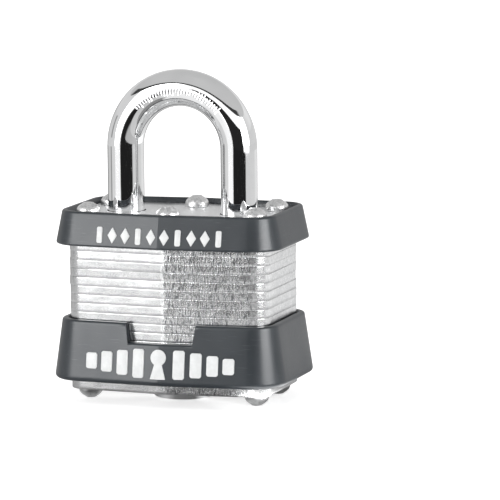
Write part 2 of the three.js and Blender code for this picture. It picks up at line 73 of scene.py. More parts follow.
SIDE = high("cylinder_plate_1").x
RIDGE = high("cylinder_plate_1").y
PLATE_T = high("top_plate").z - low("top_plate").z
STACK_LOW = high("bottom_plate").z - PLATE_T
STACK_HIGH = high("top_plate").z
INSET = SIDE - high("cylinder_plate_3").x
BOSS_FACE_Z = low("bottom_plate").z
CYLINDER_LOW = high("bottom_plate").z
CYLINDER_HIGH = high("cylinder_plate_9").z
LEVER_LOW = low("lever_plate_1").z
LEVER_HIGH = high("lever_plate_2").z
HEEL_END = low("shackle").z
ROD_R = high("shackle").y
LEG_X = high("shackle").x - ROD_R
BOW_Z = high("shackle").z - ROD_R - LEG_X

RIDGE_RISE = 1.5 * MM
CORNER_R = 3.5 * MM
SEAT_GAP = 0.1 * MM
SHANK_R = 1.55 * MM
SHANK_HOLE_R = 1.8 * MM
LEG_BORE_R = ROD_R + 0.24 * MM
CORNER_RIVETS = [(x * 16.6 * MM, y * 6.5 * MM) for x in (-1, 1) for y in (-1, 1)]
MIDDLE_RIVETS = [(0, -8.2 * MM), (0, 8.2 * MM)]

SLOPE = math.atan(RIDGE_RISE / SIDE)                       # of the front and back facets, in plan


# ---- mesh helpers


def belongs(obj, body, nodes):
    """The body that a piece moves with, and the solids that it stands for."""
    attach(obj, body)
    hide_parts(*nodes)


def arc(x, y, radius, start, end, steps):
    """Points round an arc, both ends included; angles in degrees."""
    turns = [math.radians(start + (end - start) * i / steps) for i in range(steps + 1)]
    return [(x + radius * math.cos(t), y + radius * math.sin(t)) for t in turns]


def rectangle(x0, y0, x1, y1):
    return [(x0, y0), (x1, y0), (x1, y1), (x0, y1)]


def in_mm(pairs):
    return [(x * MM, y * MM) for x, y in pairs]


def circle(x, y, radius, sides):
    return arc(x, y, radius, 0, 360, sides)[:-1]


def stand(name, data):
    """A new object in the scene, at the origin."""
    obj = bpy.data.objects.new(name, data)
    bpy.context.scene.collection.objects.link(obj)
    return obj


def tidy(mesh, sharp_angle=32, ridge=False):
    """Merges doubles, turns the faces outwards, and shades smooth up to an angle between faces.

    ridge keeps the edges at x = 0 sharp as well, where the case's front and back facets meet."""
    bm = bmesh.new()
    bm.from_mesh(mesh)
    bmesh.ops.remove_doubles(bm, verts=bm.verts, dist=1e-7)
    bmesh.ops.dissolve_degenerate(bm, edges=bm.edges, dist=1e-8)
    bmesh.ops.recalc_face_normals(bm, faces=bm.faces)
    limit = math.radians(sharp_angle)
    for face in bm.faces:
        face.smooth = True
    for edge in bm.edges:
        if len(edge.link_faces) == 2:
            edge.smooth = edge.calc_face_angle(0) < limit
            if ridge and all(abs(v.co.x) < 1e-6 for v in edge.verts):
                edge.smooth = False
    bm.to_mesh(mesh)
    bm.free()
    mesh.update()
    return mesh


def piece(name, verts, faces, finishes, face_finish=None, sharp_angle=32, ridge=False):
    """A new object from points and faces. face_finish gives each face's finish by number."""
    mesh = bpy.data.meshes.new(name)
    mesh.from_pydata(verts, [], faces)
    for finish in finishes:
        mesh.materials.append(finish)
    if face_finish:
        mesh.polygons.foreach_set("material_index", face_finish)
    return stand(name, tidy(mesh, sharp_angle, ridge))


def bake(obj, name=None):
    """The object as its modifiers leave it, as a plain mesh with no modifiers."""
    bpy.context.view_layer.update()
    graph = bpy.context.evaluated_depsgraph_get()
    mesh = bpy.data.meshes.new_from_object(obj.evaluated_get(graph))
    if obj.type != "MESH":
        name = name or obj.name
        bpy.data.objects.remove(obj)
        return stand(name, mesh)
    obj.modifiers.clear()
    obj.data = mesh
    mesh.name = obj.name
    return obj


def combine(obj, others, operation):
    for other in others:
        step = obj.modifiers.new("combine", "BOOLEAN")
        step.operation = operation
        step.solver = "EXACT"
        step.object = other
    bake(obj)
    for other in others:
        bpy.data.objects.remove(other)
    return obj


def carve(obj, *cutters):
    """Cuts the cutters' shapes out of the object."""
    return combine(obj, cutters, "DIFFERENCE")


def fuse(obj, *others):
    """Joins other solids to the object, as one solid."""
    return combine(obj, others, "UNION")


def soften(obj, width, segments=2):
    """Rounds a solid's sharp edges over."""
    step = obj.modifiers.new("soften", "BEVEL")
    step.width, step.segments, step.limit_method = width, segments, "ANGLE"
    return bake(obj)


def prism(name, outline, z0, z1, finishes=()):
    """A straight solid of an outline."""
    n = len(outline)
    verts = [(x, y, z0) for x, y in outline] + [(x, y, z1) for x, y in outline]
    faces = [(i, (i + 1) % n, n + (i + 1) % n, n + i) for i in range(n)]
    faces += [tuple(reversed(range(n))), tuple(range(n, 2 * n))]
    return piece(name, verts, faces, finishes)


def turned(name, profile, sides, finishes=(), closed=True):
    """A shape turned round Z from (radius, height) pairs, which end on the axis or make a loop."""
    verts, faces = [], []
    for radius, z in profile:
        verts += [(x, y, z) for x, y in circle(0, 0, radius, sides)]
    loop = closed and profile[0][0] > 0
    for row in range(len(profile) if loop else len(profile) - 1):
        a, b = row * sides, (row + 1) % len(profile) * sides
        for i in range(sides):
            j = (i + 1) % sides
            faces.append((a + i, a + j, b + j, b + i))
    return piece(name, verts, faces, finishes)


def move(obj, x=0, y=0, z=0, turn=(0, 0, 0)):
    """Turns and moves a mesh's own points, so that its object stays at the origin."""
    obj.data.transform(Matrix.Translation((x, y, z)) @ Euler(turn).to_matrix().to_4x4())
    return obj


# ---- geometry node helpers


def new_tree(name, inputs):
    """A geometry node tree with named inputs (label: (socket kind, value)) and one geometry output."""
    tree = bpy.data.node_groups.new(name, "GeometryNodeTree")
    tree.interface.new_socket("Geometry", in_out="INPUT", socket_type="NodeSocketGeometry")
    for label, (kind, value) in inputs.items():
        socket = tree.interface.new_socket(label, in_out="INPUT", socket_type=f"NodeSocket{kind}")
        if value is not None:
            socket.default_value = value
    tree.interface.new_socket("Geometry", in_out="OUTPUT", socket_type="NodeSocketGeometry")
    source = tree.nodes.new("NodeGroupInput").outputs

    def add(kind, settings=None, numbered=(), **labelled):
        """A node, its settings, and what its inputs hold: some by number from 0, the others by label."""
        node = tree.nodes.new(kind)
        for key, value in (settings or {}).items():
            setattr(node, key, value)
        fed = [(node.inputs[i], value) for i, value in enumerate(numbered)]
        fed += [(node.inputs[label.replace("_", " ")], value) for label, value in labelled.items()]
        for socket, value in fed:
            if isinstance(value, bpy.types.NodeSocket):
                tree.links.new(value, socket)
            else:
                socket.default_value = value
        return node.outputs

    def end(geometry):
        real = add("GeometryNodeRealizeInstances", Geometry=geometry)[0]
        done = add("GeometryNodeSetMaterial", Geometry=real, Material=source["Finish"])[0]
        tree.links.new(done, tree.nodes.new("NodeGroupOutput").inputs[0])

    return tree, source, add, end


def grown(name, tree, values, base=None):
    """A mesh made by a geometry node tree with these values for its named inputs."""
    base = base or stand(name, bpy.data.meshes.new(name))
    step = base.modifiers.new("shape", "NODES")
    step.node_group = tree
    identifiers = {s.name: s.identifier for s in tree.interface.items_tree if s.in_out == "INPUT"}
    for label, value in values.items():
        step[identifiers[label]] = value
    return bake(base, name)


def sweep_tree():
    """A round wire or rod along the curve that it is given, with closed ends."""
    tree, source, add, end = new_tree("rod_along_path", {
        "Radius": ("Float", MM),
        "Sides": ("Int", 16),
        "Finish": ("Material", None),
    })
    section = add("GeometryNodeCurvePrimitiveCircle", Resolution=source["Sides"], Radius=source["Radius"])
    rod = add("GeometryNodeCurveToMesh", Curve=source["Geometry"], Profile_Curve=section[0], Fill_Caps=True)
    end(rod[0])
    return tree


def coil_tree():
    """A coil spring standing on the origin, then turned and moved to its seat."""
    tree, source, add, end = new_tree("coil_spring", {
        "Turns": ("Float", 4.0),
        "Coil radius": ("Float", MM),
        "Wire radius": ("Float", MM),
        "Length": ("Float", MM),
        "Steps a turn": ("Int", 20),
        "Turn": ("Vector", (0, 0, 0)),
        "Seat": ("Vector", (0, 0, 0)),
        "Finish": ("Material", None),
    })
    spiral = add(
        "GeometryNodeCurveSpiral",
        Resolution=source["Steps a turn"],
        Rotations=source["Turns"],
        Start_Radius=source["Coil radius"],
        End_Radius=source["Coil radius"],
        Height=source["Length"],
    )
    section = add("GeometryNodeCurvePrimitiveCircle", Resolution=10, Radius=source["Wire radius"])
    wire = add("GeometryNodeCurveToMesh", Curve=spiral[0], Profile_Curve=section[0], Fill_Caps=True)
    turn = add("FunctionNodeEulerToRotation", Euler=source["Turn"])
    end(add("GeometryNodeTransform", Geometry=wire[0], Translation=source["Seat"], Rotation=turn[0])[0])
    return tree


def scatter_tree():
    """Copies of one shape on the points that it is given, each turned about Z by chance."""
    tree, source, add, end = new_tree("copies_on_points", {
        "Shape": ("Object", None),
        "Turn": ("Float", 0.0),
        "Seed": ("Int", 1),
        "Finish": ("Material", None),
    })
    shape = add("GeometryNodeObjectInfo", Object=source["Shape"])["Geometry"]
    spin = add("FunctionNodeRandomValue", {"data_type": "FLOAT"}, Seed=source["Seed"])[1]
    angle = add("ShaderNodeMath", {"operation": "MULTIPLY"}, (spin, source["Turn"]))[0]
    turn = add("FunctionNodeEulerToRotation", Euler=add("ShaderNodeCombineXYZ", Z=angle)[0])[0]
    copies = add("GeometryNodeInstanceOnPoints", Points=source["Geometry"], Instance=shape, Rotation=turn)
    end(copies[0])
    return tree


def path_tree():
    """Copies of one shape along a path, standing off it, each as long as chance has it."""
    tree, source, add, end = new_tree("copies_along_path", {
        "Shape": ("Object", None),
        "Count": ("Int", 10),
        "Least size": ("Float", 0.6),
        "Seed": ("Int", 1),
        "Finish": ("Material", None),
    })
    shape = add("GeometryNodeObjectInfo", Object=source["Shape"])["Geometry"]
    curve, count = source["Geometry"], source["Count"]
    spots = add("GeometryNodeCurveToPoints", {"mode": "COUNT"}, Curve=curve, Count=count)
    size = add("FunctionNodeRandomValue", {"data_type": "FLOAT"}, Seed=source["Seed"])[1]
    tree.links.new(source["Least size"], size.node.inputs[2])
    stretch = add("ShaderNodeCombineXYZ", X=1.0, Y=size, Z=1.0)[0]
    copies = add(
        "GeometryNodeInstanceOnPoints", Points=spots[0], Instance=shape, Rotation=spots[3], Scale=stretch)
    end(copies[0])
    return tree


ROD_TREE = sweep_tree()
PATH_TREE = path_tree()
COIL_TREE = coil_tree()
SCATTER_TREE = scatter_tree()


def polyline(name, points):
    """An open curve through points, to run a rod along."""
    data = bpy.data.curves.new(name, "CURVE")
    data.dimensions = "3D"
    spline = data.splines.new("POLY")
    spline.points.add(len(points) - 1)
    for place, point in zip(spline.points, points):
        place.co = (*point, 1)
    return stand(name, data)


def dots(name, places):
    """Loose points on the plane z = 0, to put copies on."""
    mesh = bpy.data.meshes.new(name)
    mesh.from_pydata([(x, y, 0) for x, y in places], [], [])
    return stand(name, mesh)


# ---- finishes


class Finish:
    """A material's nodes: a main shader, and short calls for the patterns that drive it."""

    def __init__(self, name, **sockets):
        self.material = bpy.data.materials.new(name)
        self.material.use_nodes = True
        self.tree = self.material.node_tree
        self.shader = self.tree.nodes["Principled BSDF"]
        for label, value in sockets.items():
            self.shader.inputs[label.replace("_", " ")].default_value = value
        self.place = self.node("ShaderNodeTexCoord").outputs["Object"]

    def node(self, kind, settings=None, **inputs):
        node = self.tree.nodes.new(kind)
        for key, value in (settings or {}).items():
            setattr(node, key, value)
        for label, value in inputs.items():
            self.feed(node.inputs[label.replace("_", " ")], value)
        return node

    def feed(self, socket, value):
        if isinstance(value, bpy.types.NodeSocket):
            self.tree.links.new(value, socket)
        else:
            socket.default_value = value

    def math(self, operation, a, b=0.0, c=0.0):
        node = self.node("ShaderNodeMath", {"operation": operation})
        for socket, value in zip(node.inputs, (a, b, c)):
            self.feed(socket, value)
        return node.outputs[0]

    def grain(self, size, detail=3.0, stretch=(1, 1, 1), turn=(0, 0, 0), roughness=0.5):
        """Noise with features of about this size in metres, longer along an axis by its stretch."""
        scale = [1 / (size * s) for s in stretch]
        placed = self.node("ShaderNodeMapping", Vector=self.place, Scale=scale, Rotation=turn).outputs[0]
        node = self.node("ShaderNodeTexNoise", Vector=placed, Scale=1.0, Detail=detail, Roughness=roughness)
        return node.outputs["Fac"]

    def spread(self, value, from_low, from_high, to_low=0.0, to_high=1.0):
        """The value taken from one range to another, and held inside it."""
        node = self.node("ShaderNodeMapRange", {"clamp": True}, Value=value)
        for label, number in zip(("From Min", "From Max", "To Min", "To Max"),
                                 (from_low, from_high, to_low, to_high)):
            self.feed(node.inputs[label], number)
        return node.outputs[0]

    def blend(self, share, a, b):
        """Colour a where the share is 0 and b where it is 1."""
        node = self.node("ShaderNodeMix", {"data_type": "RGBA"})
        self.feed(node.inputs[0], share)
        self.feed(node.inputs[6], a)
        self.feed(node.inputs[7], b)
        return node.outputs[2]

    def height(self, value, depth, strength=1.0, after=None):
        """A bump of this depth in metres, on top of an earlier one if there is one."""
        node = self.node("ShaderNodeBump", Height=value, Distance=depth, Strength=strength)
        if after:
            self.tree.links.new(after, node.inputs["Normal"])
        return node.outputs[0]

    def use(self, **sockets):
        for label, value in sockets.items():
            self.feed(self.shader.inputs[label.replace("_", " ")], value)
        return self.material


def grey(value, tint=0.0):
    """A grey, cooler as the tint grows."""
    return (value * (1 - tint), value, value * (1 + tint), 1)


def sheared_steel():
    """The cut edge of a plate: fine upright shear marks, grooved on the right half, over a torn lower band,
    with painted light: a dimmer tone on the left half, a brighter one on the right, and painted glints and
    dark flecks in the right half's marks.
    """
    f = Finish("sheared_steel", Metallic=1.0)
    across, _, height = f.node("ShaderNodeSeparateXYZ", Vector=f.place).outputs
    wander = f.grain(0.5 * MM, 2, (1, 1, 4))
    shifted = f.math("ADD", height, f.spread(wander, 0.3, 0.7, -0.3 * MM, 0.3 * MM))
    level = f.math("DIVIDE", f.math("SUBTRACT", shifted, STACK_LOW), PLATE_T)
    level = f.math("FRACT", level)
    torn = f.spread(level, 0.35, 0.75, 1.0, 0.45)
    # Painted light: the right half (x > 0) and the left half get different tones, fading back near the
    # corner, to suit how the light falls on each.
    from_left = f.spread(across, -0.4 * MM, 0.4 * MM, 0.10, 1.0)
    to_corner = f.spread(across, SIDE - 3.2 * MM, SIDE - 1.2 * MM, 1.0, 0.25)
    right_half_share = f.math("MULTIPLY", from_left, to_corner)
    scores = f.grain(0.27 * MM, 2, (1, 1, 4.5), roughness=0.65)
    chips = f.grain(0.30 * MM, 2, (1, 1, 1.8), roughness=0.6)
    blotch = f.grain(3.0 * MM, 2, (1, 1, 0.5))
    # Painted shade and painted glints: dark flecks and white flecks in the right half's marks.
    dark = f.math("MULTIPLY", f.spread(scores, 0.48, 0.58), f.math("MULTIPLY", right_half_share, torn))
    bright = f.math("MULTIPLY", f.spread(chips, 0.50, 0.60), right_half_share)
    cloud = f.spread(blotch, 0.35, 0.65)
    # smooth is the dimmer painted tone of the left half.
    smooth = f.blend(cloud, grey(0.54, 0.004), grey(0.49, 0.008))
    painted_bright_right = f.blend(cloud, grey(0.97, 0.006), grey(0.88, 0.012))
    colour = f.blend(from_left, smooth, f.blend(to_corner, grey(0.54, 0.004), painted_bright_right))
    colour = f.blend(dark, colour, grey(0.38, 0.035))
    colour = f.blend(f.math("MULTIPLY", bright, 0.85), colour, grey(1.0, 0.004))
    rough = f.math("MULTIPLY_ADD", torn, 0.04, f.spread(blotch, 0.3, 0.7, 0.18, 0.23))
    grooves = f.height(f.math("MULTIPLY", scores, right_half_share), 0.030 * MM, 1.0)
    flaked = f.math("MULTIPLY", chips, f.math("MULTIPLY", torn, from_left))
    pits = f.height(flaked, 0.008 * MM, 1.0, grooves)
    return f.use(Base_Color=colour, Roughness=rough, Normal=pits)


def rolled_steel():
    """The flat face of a plate: satin zinc over the mill's grain, with light scuffs."""
    f = Finish("rolled_steel", Metallic=1.0)
    grain = f.grain(0.12 * MM, 3, (14, 1, 1))
    cloud = f.grain(4 * MM, 3)
    scuffs = f.grain(0.10 * MM, 2, (1, 26, 1), turn=(0, 0, 0.6))
    rough = f.math("MULTIPLY_ADD", grain, 0.10, f.spread(cloud, 0.3, 0.7, 0.24, 0.36))
    colour = f.blend(f.spread(cloud, 0.3, 0.75), grey(0.98, 0.004), grey(0.90, 0.008))
    colour = f.blend(f.spread(scuffs, 0.64, 0.72, 0.0, 0.5), colour, grey(0.86))
    bumps = f.height(grain, 0.012 * MM, 0.5)
    bumps = f.height(cloud, 0.10 * MM, 0.35, bumps)
    return f.use(Base_Color=colour, Roughness=rough, Normal=bumps)


def struck_steel():
    """Rivet heads: zinc hammered round by the riveting tool, with painted shade on the lower heads where
    the lock stands.
    """
    f = Finish("struck_steel", Metallic=1.0)
    height = f.node("ShaderNodeSeparateXYZ", Vector=f.place).outputs[2]
    # Painted shade: the lowest heads, under the case near the floor, are darkened.
    foot = f.spread(height, STACK_LOW, 0.7 * STACK_LOW)
    dents = f.grain(0.9 * MM, 2)
    fine = f.grain(0.15 * MM, 3)
    rubs = f.grain(0.35 * MM, 3, (1, 1, 2.5))
    colour = f.blend(f.spread(dents, 0.35, 0.7), grey(0.84), grey(0.66, 0.005))
    colour = f.blend(f.spread(rubs, 0.52, 0.66, 0.0, 0.55), colour, grey(0.42, 0.01))
    painted_low_shade = f.math("MULTIPLY", foot, f.spread(dents, 0.2, 0.6, 1.0, 0.45))
    colour = f.blend(painted_low_shade, colour, grey(0.22, 0.02))
    rough = f.spread(fine, 0.3, 0.7, 0.28, 0.42)
    bumps = f.height(dents, 0.10 * MM, 0.8)
    bumps = f.height(fine, 0.012 * MM, 0.5, bumps)
    return f.use(Base_Color=colour, Roughness=rough, Normal=bumps)


def chrome_plate():
    """Hard bright chrome, with hairlines and a slight unevenness of the rod under it."""
    f = Finish("chrome_plate", Metallic=1.0)
    cloud = f.grain(5 * MM, 2)
    hair = f.grain(0.07 * MM, 2, (1, 1, 30))
    sway = f.grain(2.6 * MM, 2, (1, 1, 2.5))
    rough = f.math("MULTIPLY_ADD", f.spread(hair, 0.58, 0.72), 0.08, f.spread(cloud, 0.3, 0.7, 0.02, 0.05))
    colour = f.blend(f.spread(cloud, 0.3, 0.7), grey(0.88, 0.004), grey(0.82, 0.006))
    bumps = f.height(sway, 0.025 * MM, 0.6)
    return f.use(Base_Color=colour, Roughness=rough, Normal=bumps)


def bumper_plastic():
    """Moulded dark grey plastic, half gloss, faintly uneven, with fine rubs."""
    f = Finish("bumper_plastic", IOR=1.52)
    cloud = f.grain(7 * MM, 3)
    peel = f.grain(0.55 * MM, 2)
    fine = f.grain(0.12 * MM, 3)
    rubs = f.grain(0.12 * MM, 2, (30, 30, 1), turn=(0, 0.25, 0))
    rough = f.math("MULTIPLY_ADD", fine, 0.10, f.spread(cloud, 0.3, 0.7, 0.24, 0.31))
    colour = f.blend(f.spread(cloud, 0.3, 0.7), (0.020, 0.0255, 0.031, 1), (0.027, 0.033, 0.040, 1))
    colour = f.blend(f.spread(rubs, 0.66, 0.74, 0.0, 0.25), colour, (0.16, 0.165, 0.17, 1))
    bumps = f.height(peel, 0.020 * MM, 0.5)
    bumps = f.height(fine, 0.006 * MM, 0.5, bumps)
    return f.use(Base_Color=colour, Roughness=rough, Normal=bumps)


def mark_paint():
    """White paint rolled on the raised marks, cloudy, with fine dark specks."""
    f = Finish("mark_paint", IOR=1.5)
    cloud = f.grain(1.2 * MM, 3)
    specks = f.grain(0.12 * MM, 2)
    colour = f.blend(f.spread(cloud, 0.3, 0.75), (0.76, 0.77, 0.77, 1), (0.67, 0.68, 0.68, 1))
    colour = f.blend(f.spread(specks, 0.70, 0.76, 0.0, 0.6), colour, (0.30, 0.30, 0.31, 1))
    rough = f.spread(cloud, 0.3, 0.7, 0.42, 0.6)
    return f.use(Base_Color=colour, Roughness=rough, Normal=f.height(specks, 0.01 * MM, 0.6))


def two_tone_metal(name, patches, marks, light, dark, gloss, depth, strength=0.6):
    """A metal that is lighter and darker in patches, with fine marks in its gloss and its surface."""
    f = Finish(name, Metallic=1.0)
    cloud, fine = f.grain(*patches), f.grain(*marks)
    colour = f.blend(f.spread(cloud, 0.3, 0.7), light, dark)
    rough = f.spread(fine, 0.3, 0.7, *gloss)
    return f.use(Base_Color=colour, Roughness=rough, Normal=f.height(fine, depth, strength))


SHEARED = sheared_steel()
ROLLED = rolled_steel()
STRUCK = struck_steel()
CHROME = chrome_plate()
PLASTIC = bumper_plastic()
PAINT = mark_paint()
# Spring steel wire with die lines, cloudy die-cast zinc, tumbled lever steel, and brass with tool rings.
WIRE = two_tone_metal(
    "drawn_wire", (0.08 * MM, 3), (0.08 * MM, 3), grey(0.52, 0.01), grey(0.40, 0.02),
    (0.22, 0.38), 0.008 * MM)
ZINC = two_tone_metal(
    "cast_zinc", (1.6 * MM, 3), (0.18 * MM, 3), grey(0.52, 0.01), grey(0.42, 0.02),
    (0.40, 0.56), 0.03 * MM, 0.7)
LEVER = two_tone_metal(
    "tumbled_lever_steel", (1.4 * MM, 3), (0.1 * MM, 3, (5, 1, 1)), grey(0.40, 0.01), grey(0.31, 0.02),
    (0.28, 0.42), 0.012 * MM)
BRASS = two_tone_metal(
    "turned_brass", (1.8 * MM, 3), (0.09 * MM, 2, (1, 1, 6)), (0.80, 0.58, 0.25, 1), (0.62, 0.43, 0.17, 1),
    (0.20, 0.36), 0.010 * MM)


# ---- the case's outline


def case_plan(facet, corner_steps, side_steps=6):
    """The outline of a full-size plate, and the way each of its points goes when the outline grows.

    It runs from the front ridge to the right and on round. facet holds the places of the points
    along one facet, from 0 at the ridge to 1 at the corner."""
    centre_x = SIDE - CORNER_R
    centre_y = RIDGE - math.tan(SLOPE) * centre_x - CORNER_R / math.cos(SLOPE)
    ridge, ridge_way = Vector((0, -RIDGE)), Vector((0, -1 / math.cos(SLOPE)))
    slope = math.degrees(SLOPE)
    ways = arc(0, 0, 1, slope - 90, 0, corner_steps)
    front = [(Vector((centre_x, -centre_y)) + CORNER_R * Vector(w), Vector(w)) for w in ways]
    back = [(Vector((p.x, -p.y)), Vector((w.x, -w.y))) for p, w in reversed(front)]
    start, start_way = front[0]
    rise = [(ridge.lerp(start, s), ridge_way.lerp(start_way, s)) for s in facet]
    fall = [(Vector((p.x, -p.y)), Vector((w.x, -w.y))) for p, w in reversed(rise[1:])]
    (top, _), (bottom, _) = front[-1], back[0]
    side = [(top.lerp(bottom, i / side_steps), Vector((1, 0))) for i in range(1, side_steps)]
    half = rise + front + side + back + fall
    return half + [(-p, -w) for p, w in half]


def outline(grow, plan):
    return [tuple(p + grow * w) for p, w in plan]


# ---- plates

PLATE_PLAN = case_plan([i / 24 for i in range(24)], 14, 16)
# The edge of a plate, as (how far in, how far up) in mm: a small burr below, a rolled-over edge above,
# and a last slanting step that leaves the dark line between one plate and the next.
PLATE_EDGE = [
    (0.03, 0.0), (0.01, 0.015), (0.0, 0.04), (0.0, 0.5), (0.004, 0.95), (0.0, 1.44),
    (0.004, 1.57), (0.012, 1.615), (0.035, 1.64), (0.20, 1.65),
]
EDGE_T = PLATE_EDGE[-1][1]        # the thickness that PLATE_EDGE is drawn for
SEAM_FROM = 7                     # the edge's steps from here on are the rolled-over edge and the seam
SEAM_GAP = 0.012                  # in mm, how far a seam opens at most
OPEN_SEAM, OPEN_SEAM_GAP = 13, 0.09    # the plate with the widest gap above it
STACKING_SLIP = 0.11 * MM         # how far a plate may lie out of line with the others
EDGE_LEAN, EDGE_RIPPLE = 0.07, 0.03    # in mm


def cylinder_outline(end, gap=0.0):
    """The cylinder shell's outline: round, with a straight block for the pin chambers."""
    radius = high("cylinder_shell").y + gap
    half = high("pin_chamber_cover").y + gap
    meet = math.degrees(math.asin(half / radius))
    return [(end, -half), (end, half), *arc(0, 0, radius, meet, 360 - meet, 40)]


def lever_hole():
    """The levers' pocket, which opens into both leg bores."""
    end, half = 8.34 * MM, 5.2 * MM
    meet = math.degrees(math.acos((LEG_X - end) / LEG_BORE_R))
    return [
        (-end, -half), (end, -half), *arc(LEG_X, 0, LEG_BORE_R, meet - 180, 180 - meet, 30),
        (end, half), (-end, half), *arc(-LEG_X, 0, LEG_BORE_R, meet, 360 - meet, 30),
    ]


def leg_hole(side):
    return circle(side * LEG_X, 0, LEG_BORE_R, 40)


def shank_holes(rivets):
    return [circle(x, y, SHANK_HOLE_R, 20) for x, y in rivets]


def plate_solid(name, bottom, holes, boss=None):
    """A blanked plate: its edge all round, its holes, and its two faces.

    boss is a turned profile from (radius, height) on the lower face up to the top of a middle hole."""
    number = int(round((bottom - STACK_LOW) / PLATE_T))
    grow = -INSET if name in HOLD_PLATES else 0.0
    verts, faces, finish = [], [], []
    slip = Vector([noise.noise((number * 3.7, y, 0)) for y in (1.3, 8.1)]) * STACKING_SLIP

    def ring(points, z):
        first = len(verts)
        verts.extend((x, y, z) for x, y in points)
        return list(range(first, first + len(points)))

    def wall(a, b, kind):
        n = len(a)
        faces.extend((a[i], a[(i + 1) % n], b[(i + 1) % n], b[i]) for i in range(n))
        finish.extend([kind] * n)

    def face(loops, kind):
        places = [[Vector((*verts[i][:2], 0)) for i in loop] for loop in loops]
        flat = [i for loop in loops for i in loop]
        triangles = tessellate_polygon(places)
        faces.extend(tuple(flat[i] for i in t) for t in triangles)
        finish.extend([kind] * len(triangles))

    lean = noise.noise((number * 1.7, 4.4, 2.2)) * EDGE_LEAN
    widest = (OPEN_SEAM_GAP if number == OPEN_SEAM else SEAM_GAP) * MM
    edge = []
    for step, (inward, up) in enumerate(PLATE_EDGE):
        edge.append(list(range(len(verts), len(verts) + len(PLATE_PLAN))))
        seam = SEAM_FROM <= step < len(PLATE_EDGE) - 1
        for p, w in PLATE_PLAN:
            ripple = noise.noise((p.x / (1.6 * MM), p.y / (1.6 * MM), number * 5.3 + up * 0.6))
            out = ripple * EDGE_RIPPLE - inward - lean * (up / EDGE_T - 0.5)
            q = p + slip + w * (grow + out * MM)
            opening = 0.5 + 1.3 * noise.noise((p.x / (4 * MM), p.y / (4 * MM), number * 9.1))
            drop = max(0.0, opening) * widest if seam else 0.0
            verts.append((q.x, q.y, bottom + up / EDGE_T * PLATE_T - drop))
    for a, b in zip(edge, edge[1:]):
        wall(a, b, 0)
    top = bottom + PLATE_T
    lower, upper = [edge[0]], [edge[-1]]
    for hole in holes:
        a, b = ring(hole, bottom), ring(hole, top)
        wall(a, b, 0)
        lower.append(a)
        upper.append(b)
    if boss:
        rings = [ring(circle(0, 0, radius, 64), z) for radius, z in boss]
        for a, b in zip(rings, rings[1:]):
            wall(a, b, 1)
        lower.append(rings[0])
        upper.append(rings[-1])
    face(lower, 1)
    face(upper, 1)
    obj = piece(name + "_blank", verts, faces, [SHEARED, ROLLED], finish, 40, ridge=True)
    belongs(obj, "case", [name])


def boss_profile():
    """The drawn boss: down from the plate's lower face, round the plug's hole, and up to its top."""
    face, hole = BOSS_FACE_Z, 3.45 * MM
    base, rim = 7.0 * MM, 5.4 * MM
    root = arc(base + 0.35 * MM, STACK_LOW - 0.35 * MM, 0.35 * MM, 90, 160, 5)
    brow = arc(rim - 0.1 * MM, face + 0.9 * MM, 0.9 * MM, -15, -90, 8)
    lip = arc(hole + 0.3 * MM, face + 0.3 * MM, 0.3 * MM, 270, 180, 5)
    return root + brow + lip + [(hole, STACK_LOW + PLATE_T)]


def plates():
    heel, toe = leg_hole(-1), leg_hole(1)
    cavity = cylinder_outline(high("pin_chamber_cover").x + SEAT_GAP, SEAT_GAP)
    corner = shank_holes(CORNER_RIVETS)
    middle = shank_holes(MIDDLE_RIVETS)
    cam_hole = circle(0, 0, high("cam").x + SEAT_GAP, 32)
    toe_end = high("cam_plate_3").z
    plate_solid("bottom_plate", STACK_LOW, corner, boss_profile())
    for name in CYLINDER_PLATES:
        plate_solid(name, low(name).z, [cavity, heel, *corner])
    for name in CAM_PLATES:
        legs = [heel, toe] if high(name).z > toe_end + SEAT_GAP else [heel]
        plate_solid(name, low(name).z, [cam_hole, *legs, *corner])
    for name in LEVER_PLATES:
        plate_solid(name, low(name).z, [lever_hole(), *corner])
    for name in SHACKLE_PLATES + ["top_plate"]:
        plate_solid(name, low(name).z, [heel, toe, *corner, *middle])


plates()


# ---- rivets


def rivet_head(height, outward):
    """A struck head from its underside to its crown: (radius, height) pairs, going up or down."""
    r = (high("front_left_rivet").x - low("front_left_rivet").x) / 2
    pairs = [(SHANK_R, 0), (r * 0.95, 0), (r, 0.08), (r, 0.26)]
    pairs += [(r * math.cos(t), 0.26 + 0.70 * math.sin(t)) for t in (0.25, 0.5, 0.75, 0.95)]
    pairs += [(r * 0.42, 0.95), (r * 0.22, 0.99), (0, 1.0)]
    return [(radius, outward * z * height) for radius, z in pairs]


def rivets():
    top_h = high("front_left_rivet").z - STACK_HIGH
    top_head = [(r, STACK_HIGH + z) for r, z in rivet_head(top_h, 1)]
    low_head = [(r, STACK_LOW + z) for r, z in reversed(rivet_head(STACK_LOW, -1))]
    shank_end = low("front_middle_rivet").z
    kinds = (
        ("corner_rivets", CORNER_RIVETS, low_head + top_head,
         ["front_left_rivet", "front_right_rivet", "back_left_rivet", "back_right_rivet"], 3),
        ("middle_rivets", MIDDLE_RIVETS, [(0, shank_end), (SHANK_R, shank_end)] + top_head,
         ["front_middle_rivet", "back_middle_rivet"], 5),
    )
    for name, places, profile, stands_for, seed in kinds:
        shape = turned(name + "_shape", profile, 32, [STRUCK])
        values = {"Shape": shape, "Turn": 6.0, "Seed": seed, "Finish": STRUCK}
        obj = grown(name, SCATTER_TREE, values, dots(name, places))
        bpy.data.objects.remove(shape)
        tidy(obj.data)
        belongs(obj, "case", stands_for)


rivets()


# ---- bumpers

NOTCH_HALF_LOW = 6.3 * MM
NOTCH_HALF_HIGH = 6.85 * MM
NOTCH_DEPTH = 3.65 * MM


